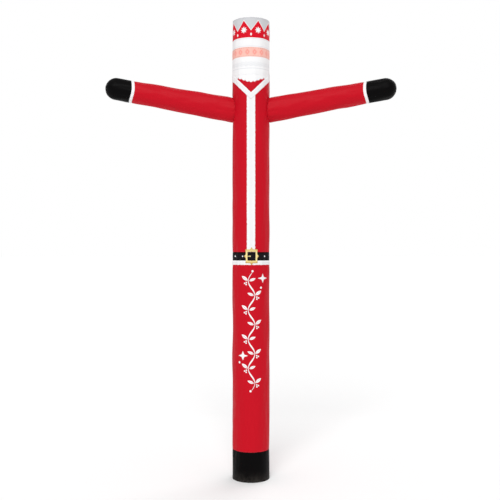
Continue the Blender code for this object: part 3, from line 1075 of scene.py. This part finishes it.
def sleeve(side):
    """From the armhole to under the cuff: rows of positions along the arm, and how far they stand out."""
    root, end = sleeve_root(side, AROUNDS), bowed(SLEEVE_ENDS[side], AROUNDS)
    length = SLEEVE_ENDS[side] - SHOULDER_END
    step = EDGE_STEP / length
    zones = [(0, 0.010 / length, step), (1 - 0.02 / length, 1, step)]
    along = root + (end + TONGUE - root) * spaced(0, 1, zones, SLEEVE_STEP / length)[:, None]
    tucked = eased(-0.001, 0.001, along - end)
    return along, AROUNDS, arm_offset(side, along, AROUNDS, along - root) - TONGUE_DROP * tucked


def cuff(side):
    """A narrow band, lapped over the sleeve and the hand."""
    shares = np.linspace(0, 1, 13)[:, None]
    along = bowed(SLEEVE_ENDS[side], AROUNDS) + CUFF_WIDTH * shares
    roll = 0.0012 * np.sqrt(1 - (2 * shares - 1) ** 2)
    return along, AROUNDS, arm_offset(side, along, AROUNDS) + LAP_LIFT + roll


def hand(side):
    """From under the cuff to the rounded end."""
    cuff_end = CUFF_ENDS[side]
    first = cuff_end - TONGUE
    straight = spaced(first, BALL_CENTRE, [(first, cuff_end, EDGE_STEP)], HAND_STEP)[:, None]
    tube = straight + bowed(0, HAND_AROUNDS) * (1 - eased(cuff_end, HAND_STRAIGHT, straight))
    rounding = np.linspace(0, pi / 2 - 0.02, 27)[1:, None]
    ball = BALL_CENTRE + ARM_RADIUS * np.sin(rounding) + 0 * HAND_AROUNDS
    along = np.concatenate([tube, ball])
    tucked = 1 - eased(-0.001, 0.001, along - bowed(cuff_end, HAND_AROUNDS))
    offset = arm_offset(side, along, HAND_AROUNDS, seams=UNDER_AND_OVER) - TONGUE_DROP * tucked
    return along, HAND_AROUNDS, offset


ARM_RINGS = (
    # seam, thread, how far from the seam, above the plain sleeve
    (SLEEVE_ENDS, "white", 0.0035, 2 * LAP_LIFT),
    (CUFF_ENDS, "white", -0.0035, 2 * LAP_LIFT),
    (SLEEVE_ENDS, "red", -0.0060, 0),
    (CUFF_ENDS, "black", 0.0060, 0),
)
ROOT_STITCHES = 0.005  # out from the armhole


def sew_arm(side, sewing):
    """Rings of stitches at the armhole and beside the cuff, and two rows along the under seam."""

    def sew(thread, along, around, from_root=np.inf, lift=0):
        offset = arm_offset(side, along, around, from_root) + lift
        sewing.follow(thread, arm_point, side, along, around, lift=offset)

    arounds = np.linspace(-pi, pi, 421)
    sew("red", sleeve_root(side, arounds) + ROOT_STITCHES, arounds, ROOT_STITCHES)
    for ends, thread, shift, lift in ARM_RINGS:
        sew(thread, bowed(ends[side], arounds) + shift, arounds, lift=lift)
    bottom = sleeve_root(side, np.array([pi]))[0]
    spans = (
        # thread, from, to, where the sleeve starts
        ("red", bottom + 0.01, SLEEVE_ENDS[side] - CUFF_TILT - 0.008, bottom),
        ("black", CUFF_ENDS[side] - CUFF_TILT + 0.008, BALL_CENTRE, -np.inf),
    )
    for thread, first, last, start in spans:
        along = np.arange(first, last, ALONG_SEAM)
        for off in SEAM_SIDES:
            sew(thread, along, pi + off * ARM_SEAM_HALF / ARM_RADIUS, along - start)


ARM_PARTS = (("sleeve", sleeve, "red"), ("cuff", cuff, "white"), ("hand", hand, "black"))


def build_arms(materials, sewing):
    for word, side in (("left", -1), ("right", 1)):
        for part, shape, colour in ARM_PARTS:
            along, arounds, offset = shape(side)
            points = arm_point(side, along, arounds, offset)
            across = round_print(ARM_RADIUS, arounds)
            cloth_piece(f"{part}_{word}_cloth", materials[colour], points, across, closed(along))
        sew_arm(side, sewing)


# How high a trim stands at its edges, and how much more over its roll.
COLLAR_PILE = (0.0021, 0.0030)
PLACKET_PILE = (0.0020, 0.0028)
VALLEY_DEPTH = 0.35  # of the roll
VALLEY_WIDTH = 0.16  # of the trim


def pile(share, foot, height):
    """A soft roll across a trim, from edge to edge, with a shallow valley down its middle."""
    roll = np.clip(1 - (2 * share - 1) ** 4, 0, 1)
    valley = np.exp(-(((share - 0.5) / VALLEY_WIDTH) ** 2))
    return foot + (height * roll - VALLEY_DEPTH * height * valley)


def collar_edges(turn):
    """The pile's lower and upper edge, which rise from a point in front to level behind."""
    chance = default_rng(41)
    facing = np.maximum(np.cos(turn), 0)
    aside = np.where(facing > 0, np.abs(np.sin(turn)), 1)
    edges = zip(COLLAR_POINT, COLLAR_BACK, (PILE_INSET, -PILE_INSET), ((23, 31, 44, 57), (21, 33, 46, 59)))
    for point, back, inset, counts in edges:
        plain = point + (back - point - COLLAR_BOW) * aside + COLLAR_BOW * (1 - facing)
        yield plain + inset + PILE_EDGE * waves(turn, counts, chance)


TUFTS = 0.0005  # how unevenly the pile stands


def build_collar(materials):
    share = np.linspace(0, 1, 17)[:, None]
    bottom, top = collar_edges(TURNS)
    tufts = TUFTS * waves(TURNS, (37, 53, 71), default_rng(42))
    points = trunk_point(TURNS, bottom + (top - bottom) * share, pile(share, *COLLAR_PILE) + tufts)
    up = (share - 0.5) * (COLLAR_BACK[1] - COLLAR_BACK[0])
    cloth_piece("collar_pile", materials["collar"], points, round_print(TUBE_RADIUS, TURNS), up, TRIM_CLOTH)


def build_placket(materials):
    share = np.linspace(0, 1, 25)[None, :]
    chance = default_rng(43)
    flat_x = (2 * share - 1) * (PLACKET_HALF_WIDTH - PILE_INSET)
    low, high = BELT_TOP + 0.001, next(collar_edges(turn_at(flat_x))) - 0.0004
    up = low + (high - low) * np.linspace(0, 1, 300)[:, None]
    phase = tau * up / (COLLAR_POINT[0] - BELT_TOP)
    counts = (23, 31, 38, 47, 59, 74)
    left, right = waves(phase, counts, chance), waves(phase, counts, chance)
    edge = np.abs(2 * share - 1) ** 3
    x = flat_x + 1.4 * PILE_EDGE * edge * np.where(flat_x < 0, -left, right)
    tufts = TUFTS * waves(phase, (53, 71, 96), chance)
    points = trunk_point(turn_at(x), up, pile(share, *PLACKET_PILE) + tufts)
    cloth_piece("placket_pile", materials["placket"], points, flat_x, up, TRIM_CLOTH)


BUCKLE_SIDE = (
    # share of the way from a side's middle to its corner, share of the point, share of the dip
    (0.00, 1.00, 0.0),
    (0.06, 0.78, 0.0),
    (0.125, 0.50, 0.0),
    (0.20, 0.16, 0.3),
    (0.29, 0.00, 0.9),
    (0.38, 0.00, 1.0),
    (0.62, 0.00, 1.0),
    (0.74, 0.00, 0.6),
    (0.84, 0.00, 0.0),
    (0.94, 0.00, 0.0),
)


def buckle_outline(count):
    """The outer outline, anticlockwise from low on the right: a point on each side, and cut corners."""
    shares, pointed, dipped = np.array(BUCKLE_SIDE).T
    share = np.linspace(-1, 1, 2 * count + 1) * shares[-1]
    pointed, dipped = (np.interp(np.abs(share), shares, values) for values in (pointed, dipped))
    points = []
    for out_x, out_z in ((1, 0), (0, 1), (-1, 0), (0, -1)):
        out = BUCKLE_POINT[out_x == 0] * pointed - BUCKLE_DIP[out_x == 0] * dipped
        x = (out_x - out_z * share) * BUCKLE_HALF[0] + out_x * out
        z = (out_z + out_x * share) * BUCKLE_HALF[1] + out_z * out
        points.append(np.stack([x, z], axis=-1))
    return np.concatenate(points)


OVER_PLACKET = 0.0032
OVER_HEM = 0.0038


def over_trims(height):
    """How far the buckle is pushed out where it crosses the placket above the belt and the hem below it."""
    above = eased(BELT_TOP - 0.006, BELT_TOP + 0.008, height)
    below = 1 - eased(BELT_BOTTOM - 0.014, BELT_BOTTOM + 0.004, height)
    return OVER_PLACKET * above + OVER_HEM * below


def buckle_point(x, z, lift):
    """A point on the trunk at x and z from the buckle's middle."""
    return trunk_point(turn_at(BUCKLE_ASIDE + x), BUCKLE_CENTRE + z, lift)


def build_buckle(materials):
    outer = buckle_outline(22)
    inner = outer / np.max(np.abs(outer) / BUCKLE_INNER, axis=1, keepdims=True)
    share = np.concatenate([[0], np.linspace(0, 1, 9), [1]])[:, None]
    flat = inner + (outer - inner) * share[..., None]
    x, z = flat[..., 0], flat[..., 1]
    lift = BUCKLE_FOOT + BUCKLE_PADDING * (1 - np.abs(2 * share - 1) ** 2.4) + over_trims(BUCKLE_CENTRE + z)
    lift[[0, -1]] = BUCKLE_EDGE  # sewn down
    points = buckle_point(x, z, lift)[::-1]
    cloth_piece("buckle_frame", materials["gold"], points, closed(x[::-1]), closed(z[::-1]), TRIM_CLOTH)


def build_prong(materials):
    """A bar from the frame's left side, with a round end."""
    x = np.linspace(0.001 - BUCKLE_INNER[0], PRONG_END, 40)[None, :]
    from_end = np.clip((PRONG_END - x) / PRONG_KNOB, 0, 2)
    rounded = PRONG_KNOB * np.sqrt(np.clip(1 - (1 - from_end) ** 2, 0.0004, 1))
    half_width = np.where(from_end < 1, rounded, np.maximum(rounded, PRONG_HALF_BAR))
    share = np.linspace(-1, 1, 9)[:, None]
    z = half_width * share
    points = buckle_point(x, z, PRONG_FOOT + PRONG_PADDING * (1 - share**2))
    cloth_piece("buckle_prong_bar", materials["gold"], points, x, z, TRIM_CLOTH)


# ---- the stage

CAMERA_DISTANCE = 9.67
CAMERA_HEIGHT = 2.815
CAMERA_SIDE = -0.0124
CAMERA_LENS = 56.25  # on a 36 mm sensor
FLOOR_SIZE = 600
FLOOR_GREY = 0.95
STUDIO_GLOW = 0.60
BACKDROP = 1
LAMPS = (
    # name, strength, softness, tilt from straight down, turn (0 shines from the front)
    ("key", 1.60, 30, 52, -8),
    ("fill", 0.95, 50, 58, 150),
)


def build_camera():
    camera = add_object("camera", bpy.data.cameras.new("camera"))
    camera.data.lens = CAMERA_LENS
    camera.data.clip_end = FLOOR_SIZE
    camera.location = (CAMERA_SIDE, -CAMERA_DISTANCE, CAMERA_HEIGHT)
    camera.rotation_euler = (pi / 2, 0, 0)
    bpy.context.scene.camera = camera


def build_floor():
    bpy.ops.mesh.primitive_plane_add(size=FLOOR_SIZE)
    floor = bpy.context.object
    floor.name = "floor"
    pale, tree = new_material("pale_floor")
    grey = (FLOOR_GREY, FLOOR_GREY, FLOOR_GREY, 1)
    set_inputs(tree.nodes["Principled BSDF"], {"Base Color": grey, "Roughness": 1, "Specular IOR Level": 0})
    floor.data.materials.append(pale)


def build_light():
    for name, strength, softness, tilt, turn in LAMPS:
        lamp = add_object(name, bpy.data.lights.new(name, "SUN"))
        lamp.data.energy = strength
        lamp.data.angle = math.radians(softness)
        lamp.rotation_euler = (math.radians(tilt), 0, math.radians(turn))

    world = bpy.data.worlds.new("studio")
    world.use_nodes = True
    tree = world.node_tree
    seen = tree.nodes.new("ShaderNodeLightPath").outputs["Is Camera Ray"]
    strength = calculate(tree, "MULTIPLY_ADD", seen, BACKDROP - STUDIO_GLOW, STUDIO_GLOW)
    set_inputs(tree.nodes["Background"], {"Strength": strength, "Color": (1, 1, 1, 1)})
    bpy.context.scene.world = world
    bpy.context.scene.view_settings.view_transform = "Standard"


THREADS = {"red": RED, "black": CHARCOAL, "white": SHADE_AND_THREAD_WHITE, "grey": PALE_GREY}


def build_materials():
    black = {"roughness": 0.45, "variation": 0.15, "specular": 0.05}
    return {
        "red": woven("red_ripstop", RED),
        "lower_tube": woven("red_ripstop_with_vine", RED, trunk_print),
        "chest_tube": woven("red_ripstop_with_scallops", RED, chest_print),
        "head_tube": woven("white_ripstop_with_bands", WHITE, head_print),
        "white": woven("white_ripstop", WHITE),
        "grey": woven("grey_ripstop", GREY),
        "black": woven("black_ripstop", BLACK, **black),
        "base_cuff": woven("black_ripstop_base", BLACK, base_print, **black),
        "belt_band": woven("black_ripstop_with_dots", BLACK, belt_print, roughness=0.55, specular=0.06),
        "hem_band": fleece("white_pile_hem", hem_groove_painted_shade),
        "collar": fleece("white_pile_collar", collar_painted_shade),
        "placket": fleece("white_pile_placket", placket_painted_shade),
        "gold": satin("gold_satin_with_painted_shade"),
        **{f"{name}_thread": twisted(f"{name}_thread", colour) for name, colour in THREADS.items()},
    }


CUTS = (
    # piece, the flat cut's width and length, its area where it isn't a rectangle, what it is sewn to
    ("base_cuff_cloth", 1.437, 0.392, None, []),
    ("lower_tube_cloth", 1.437, 2.281, None, ["base_cuff"]),
    ("hem_band_cloth", 1.437, 0.066, None, ["lower_tube"]),
    ("belt_band_cloth", 1.437, 0.111, None, ["hem_band"]),
    ("chest_tube_cloth", 1.437, 2.160, 2.990, ["belt_band"]),
    ("head_tube_cloth", 1.437, 0.700, None, ["chest_tube"]),
    ("top_panel_cloth", 0.482, 0.482, 0.170, ["head_tube"]),
    ("sleeve_left_cloth", 0.862, 1.394, 1.050, ["chest_tube"]),
    ("sleeve_right_cloth", 0.862, 1.342, 1.007, ["chest_tube"]),
    ("cuff_left_cloth", 0.842, 0.090, 0.0320, ["sleeve_left"]),
    ("cuff_right_cloth", 0.842, 0.090, 0.0320, ["sleeve_right"]),
    ("hand_left_cloth", 0.842, 0.395, 0.284, ["cuff_left"]),
    ("hand_right_cloth", 0.842, 0.447, 0.328, ["cuff_right"]),
    ("collar_pile", 0.088, 1.600, 0.1265, ["chest_tube", "head_tube"]),
    ("placket_pile", 0.104, 1.897, None, ["chest_tube"]),
    ("buckle_frame", 0.181, 0.216, 0.0192, ["belt_band", "hem_band", "placket"]),
    ("buckle_prong_bar", 0.039, 0.017, 0.00053, ["belt_band"]),
)


def declare_cuts():
    for name, width, length, area, sewn_to in CUTS:
        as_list(sewn_to)


def main():
    materials = build_materials()
    sewing = Sewing()
    build_trunk(materials, sewing)
    build_crown(materials, sewing)
    build_arms(materials, sewing)
    for build in (build_collar, build_placket, build_buckle, build_prong):
        build(materials)
    sewing.make(materials)
    declare_cuts()
    for build in (build_camera, build_floor, build_light):
        build()


main()
